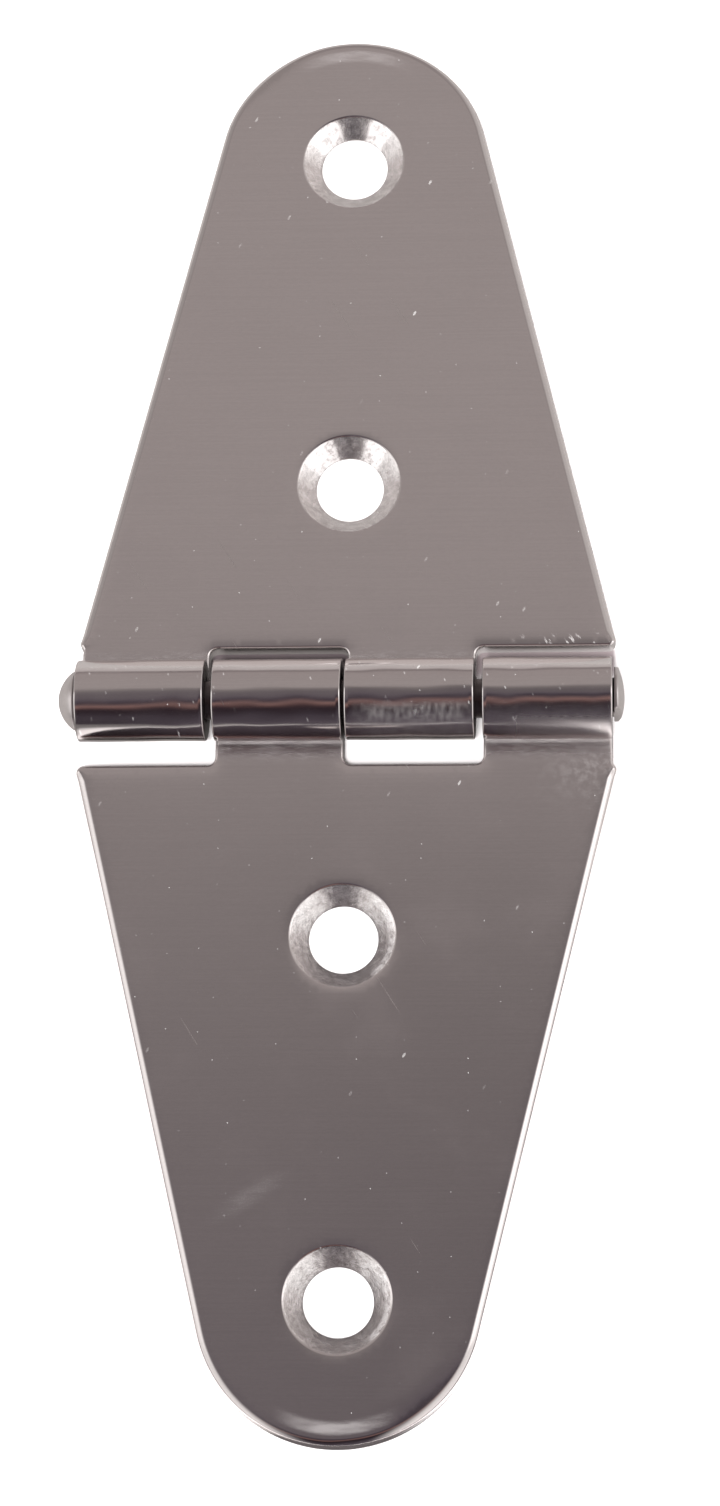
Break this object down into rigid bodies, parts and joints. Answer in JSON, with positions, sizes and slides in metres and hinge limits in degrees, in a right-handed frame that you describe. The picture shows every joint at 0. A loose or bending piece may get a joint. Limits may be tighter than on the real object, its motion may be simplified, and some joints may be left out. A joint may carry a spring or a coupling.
{
  "type": "strap hinge",
  "caption": "Open strap hinge of polished sheet steel: tapered leaves with rounded tips and countersunk screw holes, rolled knuckles and a riveted pin.",
  "frame": {"origin": "under the middle of the pin, on the plane of the leaves' back faces", "axes": "+X along the pin towards its peened head, +Y along the upper leaf to its tip, +Z out of the front faces, on the side of the knuckles"},
  "size_m": [0.0403, 0.105, 0.0059],
  "materials": {
    "polished_steel": "polished stainless sheet with faint rolling lines and fine scratches",
    "pin_steel": "tumbled stainless"
  },
  "bodies": {
    "upper_leaf": {"upper_leaf": "polished_steel", "hinge_pin": "pin_steel"},
    "lower_leaf": {"lower_leaf": "polished_steel"}
  },
  "joints": [
    {"name": "leaf_fold", "type": "hinge", "parent": "upper_leaf", "child": "lower_leaf", "pos_m": [0, 0, 0.00295], "axis": [-1, 0, 0], "range_deg": [-110, 180]}
  ]
}
